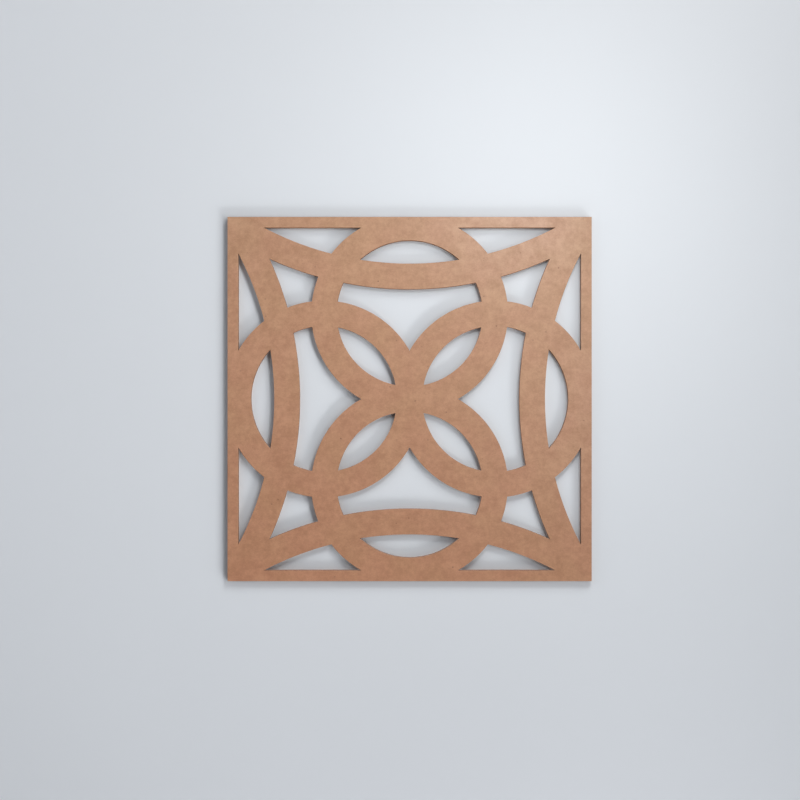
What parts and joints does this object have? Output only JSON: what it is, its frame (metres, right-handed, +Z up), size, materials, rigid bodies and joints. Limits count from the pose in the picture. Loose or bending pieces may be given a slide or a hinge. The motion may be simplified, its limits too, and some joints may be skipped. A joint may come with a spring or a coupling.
{
  "type": "decorative wall panel",
  "caption": "Square fretwork wall panel of interlaced rings and long arcs inside a plain border, cut from one thin board, with hidden keyhole plates in its back.",
  "frame": {"origin": "centre of the board's flat back face, where it lies on the wall", "axes": "+Z up the wall, +Y out of the back face into the wall, +X to the right as seen from the front"},
  "size_m": [0.39, 0.0063, 0.39],
  "materials": {
    "mdf": "matte",
    "zinc_plate": "satin",
    "screw_steel": "satin"
  },
  "bodies": {
    "root": {"fretwork_panel": "mdf", "left_hanger_plate": "zinc_plate", "right_hanger_plate": "zinc_plate", "left_plate_top_screw": "screw_steel", "left_plate_bottom_screw": "screw_steel", "right_plate_top_screw": "screw_steel", "right_plate_bottom_screw": "screw_steel"}
  },
  "joints": []
}
